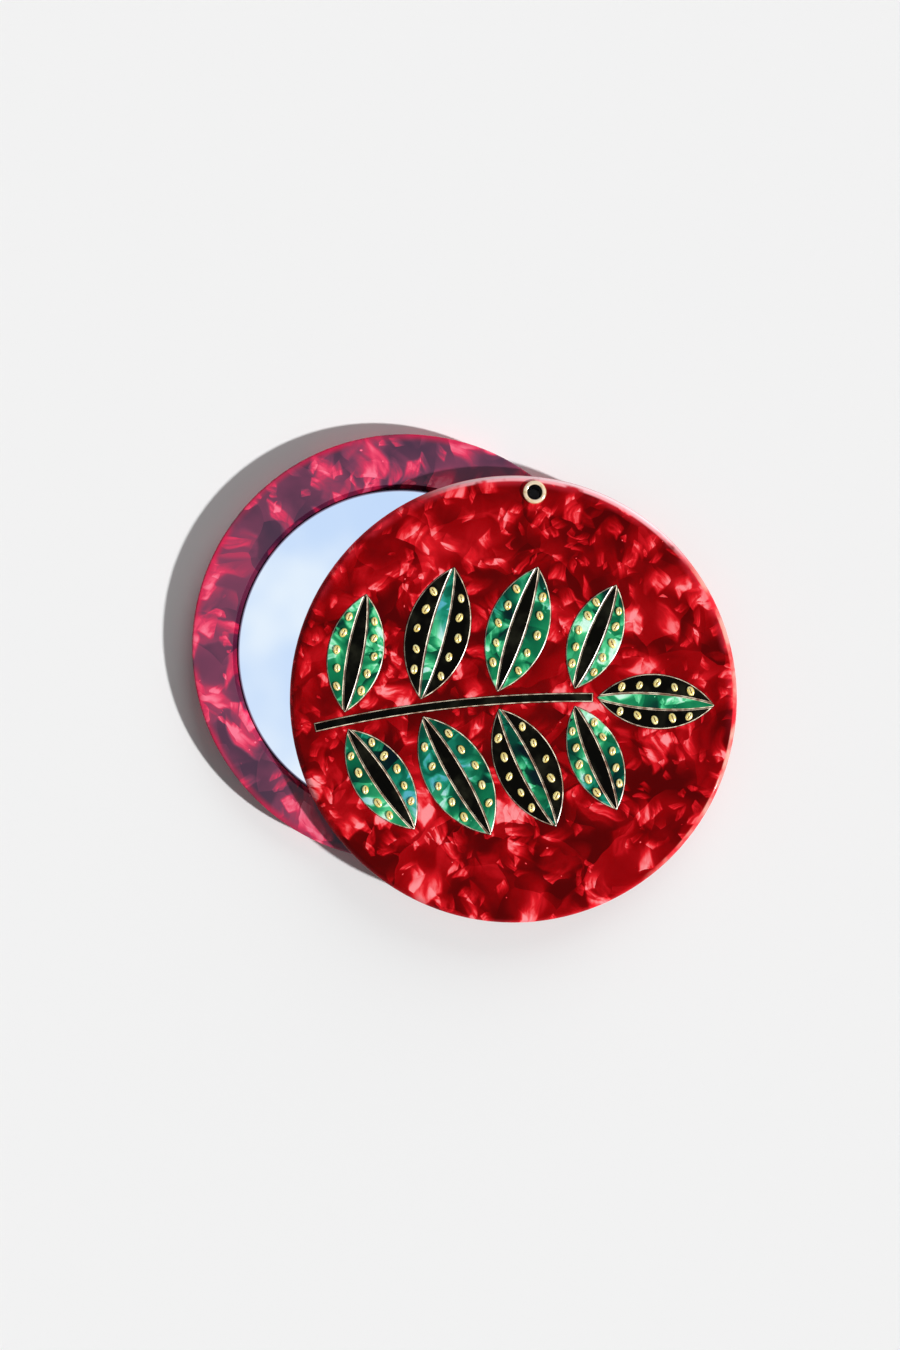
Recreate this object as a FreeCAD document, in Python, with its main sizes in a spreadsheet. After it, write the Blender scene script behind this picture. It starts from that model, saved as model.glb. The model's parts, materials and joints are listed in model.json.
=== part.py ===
# Swivel compact mirror: two marbled acetate discs that turn on one brass eyelet.
# The base is a back plate with a bezel ring bonded on it. The ring frames a round glass mirror,
# which double-sided tape holds. The cover is two bonded sheets, with a leaf sprig inlaid in the front one.
# The origin is the centre of the base's back face. +Z points out of the mirror and +Y at the eyelet.
# The cover stands swung open about the eyelet, as it lies in use.
import FreeCAD
import Part
import Sketcher
import math
import operator
import os

UP = FreeCAD.Vector(0, 0, 1)
NODE_FOLDER = "parts"
FULL_TURN = 360.0
QUARTER_TURN = 90.0
# Lengths that differ by less than this, in millimetres, count as equal.
SAME_LENGTH = 1e-6

# Driving dimensions, in millimetres and degrees.
SIZES = {
    # The two discs and how far the eyelet's axis lies inside each rim.
    "cover_diameter": 80.0,
    "base_diameter": 77.0,
    "cover_pivot_inset": 2.95,
    "base_pivot_inset": 2.5,
    "cover_swing": 34.2,
    # The base's layers, from the back to the front.
    "back_plate_thickness": 1.5,
    "bezel_thickness": 2.0,
    "back_rim_chamfer": 0.3,
    "bezel_rim_round": 0.4,
    "bezel_width_by_eyelet": 10.1,
    "bezel_width_opposite": 7.6,
    "opening_chamfer": 0.7,
    "tape_thickness": 0.2,
    "tape_margin": 1.5,
    "glass_thickness": 1.0,
    "glass_arris": 0.15,
    "glass_gap": 0.15,
    # The cover's layers, from the back to the front.
    "cover_back_thickness": 1.5,
    "cover_front_thickness": 1.5,
    "cover_back_round": 0.6,
    "cover_front_round": 1.2,
    # The eyelet and the washer that keeps the two discs apart.
    "eyelet_bore": 2.5,
    "eyelet_wall": 0.2,
    "eyelet_flange_diameter": 4.2,
    "eyelet_flange_height": 0.5,
    "eyelet_flare_diameter": 3.5,
    "eyelet_tail_recess": 0.05,
    "spacer_diameter": 4.2,
    "spacer_thickness": 0.3,
    "press_gap": 0.02,
    "running_gap": 0.05,
    # The inlaid sprig: a bowed stem, leaves in pairs and one leaf at its end.
    "sprig_margin": 4.2,
    "sprig_tilt": 9.0,
    "stem_bow_radius": 230.0,
    "stem_width": 1.7,
    "leaf_length": 27.0,
    "leaf_width": 12.6,
    "leaf_angle": 68.0,
    "leaf_gap": 1.5,
    "leaf_standoff": 0.9,
    "first_pair_lead": 6.4,
    "end_leaf_lead": 4.5,
    "midrib_width": 3.0,
    "midrib_overhang": 1.0,
    "inlay_gap": 0.1,
    "inlay_proud": 0.15,
    # The raised gold dots on the leaves.
    "dot_diameter": 1.35,
    "dot_height": 0.4,
    # How far a cutting tool runs past what it cuts.
    "cut_overrun": 1.0,
}

# Each pair's leaf length and width, as shares of the named ones, and the end leaf's.
PAIR_SIZE_SHARES = (0.88, 1.0, 0.96, 0.82)
END_LEAF_SHARE = 0.86
# Where the dots lie along a leaf, and how far across its half they stand from the midrib to the rim.
DOT_PLACE_SHARES = (0.20, 0.35, 0.50, 0.65, 0.79)
DOT_ACROSS_SHARES = (0.52, 0.44, 0.56, 0.46, 0.52)

doc = FreeCAD.newDocument("compact_mirror")
sheet = doc.addObject("Spreadsheet::Sheet", "Sizes")
for row, (alias, number) in enumerate(SIZES.items(), start=1):
    sheet.set(f"A{row}", alias)
    sheet.set(f"B{row}", str(number))
    sheet.setAlias(f"B{row}", alias)
derived = doc.addObject("App::VarSet", "Derived")
doc.recompute()


class Size:
    """A number together with the sheet expression that it is worked out by."""

    def __init__(self, value, text):
        self.value = value
        self.text = text

    def __add__(self, other):
        return combined(self, "+", other)

    def __radd__(self, other):
        return combined(other, "+", self)

    def __sub__(self, other):
        return combined(self, "-", other)

    def __rsub__(self, other):
        return combined(other, "-", self)

    def __mul__(self, other):
        return combined(self, "*", other)

    def __rmul__(self, other):
        return combined(other, "*", self)

    def __truediv__(self, other):
        return combined(self, "/", other)

    def __neg__(self):
        return combined(0, "-", self)


SIGNS = {"+": operator.add, "-": operator.sub, "*": operator.mul, "/": operator.truediv}


def as_size(number):
    return number if isinstance(number, Size) else Size(float(number), f"{float(number):.12g}")


def combined(first, sign, second):
    first, second = as_size(first), as_size(second)
    return Size(SIGNS[sign](first.value, second.value), f"({first.text} {sign} {second.text})")


def cell(alias):
    return Size(float(sheet.get(alias)), f"Sizes.{alias}")


def root(size):
    return Size(math.sqrt(size.value), f"sqrt({size.text})")


def sine(angle):
    return Size(math.sin(math.radians(angle.value)), f"sin({angle.text})")


def cosine(angle):
    return Size(math.cos(math.radians(angle.value)), f"cos({angle.text})")


def arc_sine(size):
    return Size(math.degrees(math.asin(size.value)), f"asin({size.text})")


def arc_degrees(length, radius):
    """The angle, in degrees, that an arc of that length spans."""
    turned = length / radius
    return Size(math.degrees(turned.value), f"({turned.text} * 180 / pi)")


def bind(thing, name, size):
    thing.setExpression(name, as_size(size).text)


def named(name, size):
    """Keeps a derived size in the document under a name, for others to be worked out from."""
    derived.addProperty("App::PropertyFloat", name)
    bind(derived, name, size)
    return Size(size.value, f"Derived.{name}")


def place(thing, x, y, z, angle=None):
    bind(thing, "Placement.Base.x", x)
    bind(thing, "Placement.Base.y", y)
    bind(thing, "Placement.Base.z", z)
    if angle is not None:
        bind(thing, "Placement.Rotation.Angle", angle)
    return thing


# Sizes that several pieces share.
cover_radius = named("cover_radius", cell("cover_diameter") / 2)
base_radius = named("base_radius", cell("base_diameter") / 2)
pivot_y = named("pivot_y", base_radius - cell("base_pivot_inset"))
cover_reach = named("cover_reach", cover_radius - cell("cover_pivot_inset"))
bore_radius = named("bore_radius", cell("eyelet_bore") / 2)
barrel_radius = named("barrel_radius", bore_radius + cell("eyelet_wall"))
flange_radius = named("flange_radius", cell("eyelet_flange_diameter") / 2)
flare_radius = named("flare_radius", cell("eyelet_flare_diameter") / 2)
pressed_hole_radius = named("pressed_hole_radius", barrel_radius + cell("press_gap"))
running_hole_radius = named("running_hole_radius", barrel_radius + cell("running_gap"))

# The mirror's opening follows the base disc, off its centre by the difference of the ring's two widths.
bezel_widths = cell("bezel_width_by_eyelet") + cell("bezel_width_opposite")
mirror_opening_diameter = named("mirror_opening_diameter", cell("base_diameter") - bezel_widths)
mirror_offset = named("mirror_offset", (cell("bezel_width_by_eyelet") - cell("bezel_width_opposite")) / 2)
opening_radius = named("opening_radius", mirror_opening_diameter / 2)
glass_radius = named("glass_radius", opening_radius - cell("glass_gap"))

# Levels above the base's back face.
bezel_bottom = cell("back_plate_thickness")
bezel_top = named("bezel_top", bezel_bottom + cell("bezel_thickness"))
cover_bottom = named("cover_bottom", bezel_top + cell("spacer_thickness") + cell("running_gap"))
cover_joint = named("cover_joint", cover_bottom + cell("cover_back_thickness"))
cover_top = named("cover_top", cover_joint + cell("cover_front_thickness"))
flange_bottom = named("flange_bottom", cover_top + cell("running_gap"))
inlay_height = named("inlay_height", cell("cover_front_thickness") + cell("inlay_proud"))


def on_cover(x, y):
    """A point of the cover's own plane, where +Y runs from its centre to the eyelet, in the base's axes."""
    swing = cell("cover_swing")
    below_pivot = y - cover_reach
    turned_x = x * cosine(swing) - below_pivot * sine(swing)
    turned_y = x * sine(swing) + below_pivot * cosine(swing)
    return turned_x, pivot_y + turned_y


def place_on_cover(thing, x, y, z, angle=0):
    row_x, row_y = on_cover(x, y)
    return place(thing, row_x, row_y, z, cell("cover_swing") + angle)


# Sketched and padded pieces.
def new_body(name):
    body = doc.addObject("PartDesign::Body", name)
    body.Label = name
    return body


def new_sketch(body, role):
    sketch = body.newObject("Sketcher::SketchObject", f"{body.Name}_sketch")
    plane = next(f for f in body.Origin.OriginFeatures if f.Role == role)
    sketch.AttachmentSupport = [(plane, "")]
    sketch.MapMode = "FlatFace"
    return sketch


def bound_constraint(sketch, kind, *where, size):
    """A dimension of the sketch, held by the sheet."""
    index = sketch.addConstraint(Sketcher.Constraint(kind, *where, size.value))
    bind(sketch, f"Constraints[{index}]", size)


def add_circle(sketch, radius, y=None):
    """A circle about the origin, or about a point of the sketch's vertical axis."""
    centre = FreeCAD.Vector(0, y.value if y else 0, 0)
    circle = sketch.addGeometry(Part.Circle(centre, UP, radius.value), False)
    bound_constraint(sketch, "Radius", circle, size=radius)
    if y is None:
        sketch.addConstraint(Sketcher.Constraint("Coincident", circle, 3, -1, 1))
        return
    sketch.addConstraint(Sketcher.Constraint("PointOnObject", circle, 3, -2))
    if y.value > 0:
        bound_constraint(sketch, "DistanceY", -1, 1, circle, 3, size=y)
    else:
        bound_constraint(sketch, "DistanceY", circle, 3, -1, 1, size=-y)


def padded_disc(name, thickness, circles):
    """A body padded from circles, each a radius and a place on the vertical axis."""
    body = new_body(name)
    sketch = new_sketch(body, "XY_Plane")
    for radius, y in circles:
        add_circle(sketch, radius, y)
    pad = body.newObject("PartDesign::Pad", f"{name}_pad")
    pad.Profile = sketch
    bind(pad, "Length", thickness)
    sketch.Visibility = False
    doc.recompute()
    return body


def round_edges(shape, radius, level):
    """Names of the shape's circular edges of that radius at that height."""
    found = []
    for number, edge in enumerate(shape.Edges, start=1):
        curve = edge.Curve
        if not isinstance(curve, Part.Circle):
            continue
        same_radius = abs(curve.Radius - radius.value) < SAME_LENGTH
        same_level = abs(curve.Center.z - as_size(level).value) < SAME_LENGTH
        if same_radius and same_level:
            found.append(f"Edge{number}")
    return found


def ease_edge(body, kind, size, radius, level):
    """Chamfers or fillets the body's circular edge of that radius at that height."""
    tip = body.Tip
    feature = body.newObject(f"PartDesign::{kind}", f"{body.Name}_{kind.lower()}")
    feature.Base = (tip, round_edges(tip.Shape, radius, level))
    bind(feature, "Size" if kind == "Chamfer" else "Radius", size)
    doc.recompute()


# Base.
def make_back_plate():
    thickness = cell("back_plate_thickness")
    body = padded_disc("base_back_plate", thickness, [(base_radius, None), (pressed_hole_radius, pivot_y)])
    ease_edge(body, "Chamfer", cell("back_rim_chamfer"), base_radius, 0)
    # The countersink that takes the eyelet's flared tail.
    sunk = flare_radius + cell("eyelet_tail_recess") + cell("press_gap") - pressed_hole_radius
    ease_edge(body, "Chamfer", sunk, pressed_hole_radius, 0)
    return body


def make_bezel_ring():
    thickness = cell("bezel_thickness")
    circles = [(base_radius, None), (opening_radius, -mirror_offset), (pressed_hole_radius, pivot_y)]
    body = padded_disc("mirror_bezel_ring", thickness, circles)
    ease_edge(body, "Fillet", cell("bezel_rim_round"), base_radius, thickness)
    ease_edge(body, "Chamfer", cell("opening_chamfer"), opening_radius, thickness)
    return place(body, 0, 0, bezel_bottom)


def make_mirror_tape():
    tape = doc.addObject("Part::Cylinder", "mirror_tape")
    bind(tape, "Radius", glass_radius - cell("tape_margin"))
    bind(tape, "Height", cell("tape_thickness"))
    return place(tape, 0, -mirror_offset, bezel_bottom)


def make_mirror():
    thickness = cell("glass_thickness")
    body = padded_disc("mirror", thickness, [(glass_radius, None)])
    ease_edge(body, "Chamfer", cell("glass_arris"), glass_radius, thickness)
    return place(body, 0, -mirror_offset, bezel_bottom + cell("tape_thickness"))


def make_pivot_spacer():
    ring = doc.addObject("Part::Cylinder", "pivot_spacer_ring")
    bind(ring, "Radius", cell("spacer_diameter") / 2)
    bind(ring, "Height", cell("spacer_thickness"))
    hole = doc.addObject("Part::Cylinder", "pivot_spacer_hole")
    bind(hole, "Radius", running_hole_radius)
    bind(hole, "Height", cell("spacer_thickness") + 2 * cell("cut_overrun"))
    bind(hole, "Placement.Base.z", -cell("cut_overrun"))
    spacer = doc.addObject("Part::Cut", "pivot_spacer")
    spacer.Base = ring
    spacer.Tool = hole
    return place(spacer, 0, pivot_y, bezel_top)


def make_eyelet():
    """A hollow rivet: a flared tail in the base's countersink, a barrel and a rolled front flange."""
    tail = cell("eyelet_tail_recess")
    flare_top = tail + flare_radius - barrel_radius
    crown = flange_bottom + cell("eyelet_flange_height")
    mouth_round = flange_radius - bore_radius - cell("eyelet_flange_height")
    crown_radius = bore_radius + mouth_round
    corners = [
        (bore_radius, flare_top),
        (bore_radius, crown - mouth_round),
        (crown_radius, crown),
        (flange_radius, flange_bottom),
        (barrel_radius, flange_bottom),
        (barrel_radius, flare_top),
        (flare_radius, tail),
        (flare_radius - cell("eyelet_wall"), tail),
    ]
    # The two sides of the profile that are quarter rounds, by their first corner.
    rounds = {1: mouth_round, 2: cell("eyelet_flange_height")}
    body = new_body("eyelet")
    sketch = new_sketch(body, "XZ_Plane")
    add_profile(sketch, corners, rounds)
    turned = body.newObject("PartDesign::Revolution", "eyelet_turned")
    turned.Profile = sketch
    turned.ReferenceAxis = (sketch, ["V_Axis"])
    turned.Angle = FULL_TURN
    sketch.Visibility = False
    doc.recompute()
    return place(body, 0, pivot_y, 0)


def add_profile(sketch, corners, rounds):
    """A closed outline through the corners, straight but for the quarter rounds, held by the sheet."""
    points = [FreeCAD.Vector(x.value, y.value, 0) for x, y in corners]
    sides = []
    for number, start in enumerate(points):
        end = points[(number + 1) % len(points)]
        side = quarter_round(start, end, rounds[number]) if number in rounds else Part.LineSegment(start, end)
        sides.append(sketch.addGeometry(side, False))
    for number, side in enumerate(sides):
        # An arc is stored anticlockwise, so a clockwise one starts at its own second point.
        first = 2 if number in rounds else 1
        previous_last = 1 if (number - 1) in rounds else 2
        sketch.addConstraint(Sketcher.Constraint("Coincident", sides[number - 1], previous_last, side, first))
        x, y = corners[number]
        bound_constraint(sketch, "DistanceX", -1, 1, side, first, size=x)
        bound_constraint(sketch, "DistanceY", -1, 1, side, first, size=y)
        if number in rounds:
            bound_constraint(sketch, "Radius", side, size=rounds[number])


def quarter_round(start, end, radius):
    """The clockwise quarter arc from start to end that bulges up and out."""
    if end.y > start.y:
        centre = FreeCAD.Vector(end.x, start.y, 0)
        first_angle, last_angle = math.pi / 2, math.pi
    else:
        centre = FreeCAD.Vector(start.x, end.y, 0)
        first_angle, last_angle = 0, math.pi / 2
    return Part.ArcOfCircle(Part.Circle(centre, UP, radius.value), first_angle, last_angle)


# Cover.
def make_cover_back_sheet():
    thickness = cell("cover_back_thickness")
    circles = [(cover_radius, None), (running_hole_radius, cover_reach)]
    body = padded_disc("cover_back_sheet", thickness, circles)
    ease_edge(body, "Fillet", cell("cover_back_round"), cover_radius, 0)
    return place_on_cover(body, 0, 0, cover_bottom)


def make_cover_front_sheet(windows):
    """The front sheet, with a window for each leaf and for the stem."""
    thickness = cell("cover_front_thickness")
    circles = [(cover_radius, None), (running_hole_radius, cover_reach)]
    blank = padded_disc("cover_front_blank", thickness, circles)
    ease_edge(blank, "Fillet", cell("cover_front_round"), cover_radius, thickness)
    place_on_cover(blank, 0, 0, cover_joint)
    tools = doc.addObject("Part::Compound", "inlay_windows")
    tools.Links = windows
    front = doc.addObject("Part::Cut", "cover_front_sheet")
    front.Base = blank
    front.Tool = tools
    return front


# Sprig. Its own plane has the stem's crest at the cover's centre, with the stem along +X there.
# It is drawn at its named sizes and fitted to the span that the cover leaves it.
drawn_spacing = (cell("leaf_width") + cell("leaf_gap")) / sine(cell("leaf_angle"))
drawn_pairs = cell("first_pair_lead") + (len(PAIR_SIZE_SHARES) - 1) * drawn_spacing
drawn_span = named("drawn_span", drawn_pairs + cell("end_leaf_lead") + cell("leaf_length") * END_LEAF_SHARE)
half_span = named("half_span", cover_radius - cell("sprig_margin"))
sprig_fit = named("sprig_fit", 2 * half_span / drawn_span)


def fitted(alias):
    """A size of the sprig, fitted to the cover."""
    return cell(alias) * sprig_fit


pair_spacing = named("pair_spacing", drawn_spacing * sprig_fit)
bow_radius = named("bow_radius", fitted("stem_bow_radius"))
end_leaf_foot = named("end_leaf_foot", half_span - fitted("leaf_length") * END_LEAF_SHARE)


def on_sprig(x, y):
    tilt = cell("sprig_tilt")
    return x * cosine(tilt) - y * sine(tilt), x * sine(tilt) + y * cosine(tilt)


def place_on_sprig(thing, x, y, z, angle):
    cover_x, cover_y = on_sprig(x, y)
    return place_on_cover(thing, cover_x, cover_y, z, cell("sprig_tilt") + angle)


def on_bow(turn, outward):
    """A point beside the stem's middle line: turn is in degrees past its crest, outward is above the stem."""
    reach = bow_radius + outward
    return reach * sine(turn), reach * cosine(turn) - bow_radius


def drum(name, radius, height, x, y, z):
    cylinder = doc.addObject("Part::Cylinder", name)
    bind(cylinder, "Radius", radius)
    bind(cylinder, "Height", height)
    return place(cylinder, x, y, z)


def both(name, first, second):
    common = doc.addObject("Part::Common", name)
    common.Base = first
    common.Tool = second
    return common


def less(name, whole, tool):
    cut = doc.addObject("Part::Cut", name)
    cut.Base = whole
    cut.Tool = tool
    return cut


class Leaf:
    """A pointed leaf of two arcs. In its own plane it runs along +X from its foot at the origin."""

    def __init__(self, number, share, foot, heading):
        self.name = f"leaf_{number}"
        self.foot = (self.own("foot_x", foot[0]), self.own("foot_y", foot[1]))
        self.heading = self.own("heading", heading)
        self.length = self.own("length", fitted("leaf_length") * share)
        width = self.own("width", fitted("leaf_width") * share)
        rib_length = self.length + 2 * fitted("midrib_overhang")
        rib_width = fitted("midrib_width")
        self.side_radius = self.own("side_radius", arc_radius(self.length, width))
        self.side_centre = self.own("side_centre", self.side_radius - width / 2)
        self.rib_radius = self.own("rib_radius", arc_radius(rib_length, rib_width))
        self.rib_centre = self.own("rib_centre", self.rib_radius - rib_width / 2)

    def own(self, name, size):
        return named(f"{self.name}_{name}", size)

    def side_drum(self, name, radius, centre, side, height=inlay_height, level=0):
        """The drum whose rim is one side's arc: side is 1 on the left of the leaf and -1 on its right."""
        return drum(f"{self.name}_{name}", radius, height, self.length / 2, -side * centre, level)

    def seat(self, thing):
        return place_on_sprig(thing, *self.foot, cover_joint, self.heading)

    def pieces(self):
        """The two halves of the blade and the midrib between them, in place."""
        made = []
        sides = {}
        ribs = {}
        for side, word in ((1, "left"), (-1, "right")):
            sides[side] = self.side_drum(f"{word}_side", self.side_radius, self.side_centre, side)
            ribs[side] = self.side_drum(f"{word}_rib", self.rib_radius, self.rib_centre, side)
            kerf_radius = self.rib_radius + cell("inlay_gap")
            kerf = self.side_drum(f"{word}_kerf", kerf_radius, self.rib_centre, side)
            made.append(self.seat(less(f"{self.name}_{word}_half", sides[side], kerf)))
        blank = both(f"{self.name}_blank", sides[1], sides[-1])
        rib_blank = both(f"{self.name}_rib_blank", ribs[1], ribs[-1])
        made.append(self.seat(both(f"{self.name}_midrib", blank, rib_blank)))
        return made

    def window(self):
        """The tool that cuts the leaf's window in the front sheet."""
        radius = self.side_radius + cell("inlay_gap")
        height = cell("cover_front_thickness") + 2 * cell("cut_overrun")
        level = -cell("cut_overrun")
        left = self.side_drum("window_left", radius, self.side_centre, 1, height, level)
        right = self.side_drum("window_right", radius, self.side_centre, -1, height, level)
        return self.seat(both(f"{self.name}_window", left, right))

    def dots(self):
        """Raised dots down the middle of each half."""
        made = []
        for side in (1, -1):
            for along_share, across_share in zip(DOT_PLACE_SHARES, DOT_ACROSS_SHARES):
                x = self.length * along_share
                from_middle = x - self.length / 2
                rib_edge = half_width(self.rib_radius, self.rib_centre, from_middle)
                leaf_edge = half_width(self.side_radius, self.side_centre, from_middle)
                y = side * (rib_edge + (leaf_edge - rib_edge) * across_share)
                made.append(self.dot(len(made) + 1, x, y))
        return made

    def dot(self, number, x, y):
        """A ball cap that stands on the leaf."""
        half = cell("dot_diameter") / 2
        height = cell("dot_height")
        ball_radius = (half * half + height * height) / (2 * height)
        ball = doc.addObject("Part::Sphere", f"{self.name}_dot_{number}")
        bind(ball, "Radius", ball_radius)
        sunk = ball_radius - height
        bind(ball, "Angle1", arc_sine(sunk / ball_radius))
        turned_x = x * cosine(self.heading) - y * sine(self.heading)
        turned_y = x * sine(self.heading) + y * cosine(self.heading)
        foot_x, foot_y = self.foot
        level = cover_joint + inlay_height - sunk
        return place_on_sprig(ball, foot_x + turned_x, foot_y + turned_y, level, self.heading)


def arc_radius(length, width):
    """The radius of the arcs that make a pointed oval of that length and width."""
    return length * length / (4 * width) + width / 4


def half_width(radius, centre, from_middle):
    """Half the width of a pointed oval, at a distance from its middle."""
    return root(radius * radius - from_middle * from_middle) - centre


def make_leaves():
    """The pairs from the stem's start to its end, then the end leaf."""
    leaves = []
    standoff = fitted("stem_width") / 2 + fitted("leaf_standoff")
    first_pair = fitted("first_pair_lead") - half_span
    for pair, size_share in enumerate(PAIR_SIZE_SHARES):
        turn = arc_degrees(first_pair + pair * pair_spacing, bow_radius)
        for side in (1, -1):
            foot = on_bow(turn, side * standoff)
            heading = side * cell("leaf_angle") - turn
            leaves.append(Leaf(len(leaves) + 1, size_share, foot, heading))
    foot_turn = arc_degrees(end_leaf_foot, bow_radius)
    middle_turn = arc_degrees((end_leaf_foot + half_span) / 2, bow_radius)
    leaves.append(Leaf(len(leaves) + 1, END_LEAF_SHARE, on_bow(foot_turn, 0), -middle_turn))
    return leaves


def stem_sector(name, grown, height, level):
    """A bowed strip of the stem's width, grown all round."""
    start = -half_span - grown
    end = end_leaf_foot - fitted("leaf_standoff") + grown
    half = fitted("stem_width") / 2 + grown
    outer = doc.addObject("Part::Cylinder", f"{name}_outer")
    bind(outer, "Radius", bow_radius + half)
    bind(outer, "Height", height)
    bind(outer, "Angle", arc_degrees(end - start, bow_radius))
    overrun = cell("cut_overrun")
    inner = drum(f"{name}_inner", bow_radius - half, height + 2 * overrun, 0, 0, -overrun)
    strip = less(name, outer, inner)
    first_turn = QUARTER_TURN - arc_degrees(end, bow_radius)
    return place_on_sprig(strip, 0, -bow_radius, level, first_turn)


def make_stem():
    return stem_sector("stem", 0, inlay_height, cover_joint)


def make_stem_window():
    height = cell("cover_front_thickness") + 2 * cell("cut_overrun")
    return stem_sector("stem_window", cell("inlay_gap"), height, cover_joint - cell("cut_overrun"))


def make_gold_dots(leaves):
    dots = doc.addObject("Part::Compound", "gold_dots")
    dots.Links = [dot for leaf in leaves for dot in leaf.dots()]
    return dots


def build():
    pieces = [
        make_back_plate(),
        make_bezel_ring(),
        make_mirror_tape(),
        make_mirror(),
        make_pivot_spacer(),
        make_eyelet(),
        make_cover_back_sheet(),
    ]
    leaves = make_leaves()
    windows = [leaf.window() for leaf in leaves] + [make_stem_window()]
    pieces.append(make_cover_front_sheet(windows))
    pieces.append(make_stem())
    for leaf in leaves:
        pieces.extend(leaf.pieces())
    pieces.append(make_gold_dots(leaves))
    doc.recompute()
    return pieces


def check(pieces):
    """Stops if anything in the document failed, before a file is written."""
    for thing in doc.Objects:
        if "Invalid" in thing.State or "Error" in thing.State:
            raise RuntimeError(f"{thing.Label} failed: {thing.State}")
    for piece in pieces:
        if piece.Shape.isNull() or not piece.Shape.isValid() or not piece.Shape.Solids:
            raise RuntimeError(f"{piece.Label} has no valid solid")


def write(pieces):
    os.makedirs(NODE_FOLDER, exist_ok=True)
    for piece in pieces:
        piece.Shape.exportStep(os.path.join(NODE_FOLDER, f"{piece.Label}.step"))
        print(piece.Label, len(piece.Shape.Solids), "solids", round(piece.Shape.Volume, 2), "mm3")


made_pieces = build()
check(made_pieces)
write(made_pieces)
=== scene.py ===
"""The looks of a swivel compact mirror: marbled acetate, a leaf inlay, gold beads, brass and glass."""
import json
import math
import random

import bpy
from mathutils import Matrix, Vector


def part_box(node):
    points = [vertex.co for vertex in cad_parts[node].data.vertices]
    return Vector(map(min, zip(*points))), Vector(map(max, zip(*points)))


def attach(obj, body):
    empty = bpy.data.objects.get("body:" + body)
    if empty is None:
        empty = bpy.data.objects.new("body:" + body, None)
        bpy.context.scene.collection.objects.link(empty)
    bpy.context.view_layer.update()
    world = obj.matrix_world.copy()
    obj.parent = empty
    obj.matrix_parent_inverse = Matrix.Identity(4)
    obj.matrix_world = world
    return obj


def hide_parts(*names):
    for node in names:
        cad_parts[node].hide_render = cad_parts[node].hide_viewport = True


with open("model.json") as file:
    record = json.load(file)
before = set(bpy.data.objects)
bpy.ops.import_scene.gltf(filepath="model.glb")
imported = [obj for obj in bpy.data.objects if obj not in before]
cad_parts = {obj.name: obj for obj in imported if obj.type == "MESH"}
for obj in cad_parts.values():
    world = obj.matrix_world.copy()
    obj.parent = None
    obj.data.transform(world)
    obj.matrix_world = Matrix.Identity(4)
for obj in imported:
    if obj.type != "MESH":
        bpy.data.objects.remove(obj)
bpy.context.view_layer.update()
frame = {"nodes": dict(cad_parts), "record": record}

MM = 0.001

# The camera looks straight down. The picture's height is that of its view at the cover's face,
# and the sensor's width is in millimetres.
CAMERA_ROLL = math.radians(40.02)
CAMERA_CENTRE = (9.39 * MM, 1.37 * MM)
CAMERA_DISTANCE = 300 * MM
PICTURE_HEIGHT = 240.6 * MM
SENSOR_WIDTH = 36.0

# The key sun stands low to the picture's right, and the soft rim lamp low beyond its top edge.
KEY_BEARING = math.radians(113.6)
KEY_ELEVATION = math.radians(28)
KEY_STRENGTH = 4.75
KEY_ANGLE = math.radians(2.5)
RIM_BEARING = math.radians(28)
RIM_ELEVATION = math.radians(20)
RIM_STRENGTH = 1.2
RIM_ANGLE = math.radians(50)
FILL_STRENGTH = 0.15
FLOOR_SIZE = 6.0
FLOOR_DROP = 0.02 * MM

# Noise runs from 0 to 1 about this value.
NOISE_MIDDLE = 0.5

# Tears in a flake's outline, in cells of the layer that it lies in.
TEAR_FINENESS = 1.7
TEAR_REACH = 0.16

# A flake, in cells: its least and most half length and half width, and how far its ends slant.
FLAKE_HALF_LENGTHS = (0.3, 0.54)
FLAKE_HALF_WIDTHS = (0.16, 0.4)
FLAKE_SLANT = 0.45

# Where a flake is gone and where it is full, in shares of its half length or half width.
END_SHARES = (1.0, 0.75)
SIDE_SHARES = (1.0, 0.6)
FADE_SHARES = (-1.2, 0.8)

# The grain along and across a flake, how far apart two flakes draw it, and its least and most light.
GRAIN_ALONG = 2.5
GRAIN_ACROSS = 7.0
GRAIN_APART = 60.0
GRAIN_LIGHTS = (0.3, 1.0)

# How far from a flake's middle, in cells, its glow ends and is full.
GLOW_REACHES = (0.62, 0.12)

# Flakes gather in drifts: how fine these are, and how many flakes show outside and inside them.
DRIFT_FINENESS = 0.45
DRIFT_CROWDS = (0.35, 1.65)

# Layers of flakes: their fineness, where each is drawn, how many show for each pale one,
# and how much the flake and the glow round it lighten the acetate.
FLAKE_LAYERS = (
    (0.62, (5.2, 3.1, 1.3), 2.4, 0.3, 0.1),
    (1.0, (9.4, 7.7, 2.2), 2.2, 0.34, 0.1),
    (0.9, (2.6, 8.3, 4.1), 0.8, 0.9, 0.2),
    (1.25, (4.4, 6.9, 8.2), 1.0, 0.9, 0.16),
    (2.1, (7.5, 1.8, 3.6), 0.9, 0.75, 0.1),
)

# The acetate's ground: how it is warped, its broad sheets, its cloud, and the tones that it spans.
WARP_FINENESS = 0.5
WARP_REACH = 1.2
SHEET_FINENESS = 0.6
SHEET_SLOPE = 0.9
SHEET_SHARE = 0.28
CLOUD_FINENESS = 0.9
GROUND_TONES = (0.22, 0.8)

# Fine specks: how fine, where one ends and is full, and the share of cells that hold none.
SPECK_FINENESS = 5.0
SPECK_REACHES = (0.16, 0.06)
BARE_SPECK_SHARE = 0.95

# The tones at which each colour of the acetate starts and is full, from dark to pale.
COLOUR_TONES = {"Middle": (0.0, 0.5), "Bright": (0.36, 1.2), "Pale": (0.88, 1.6)}

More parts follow.
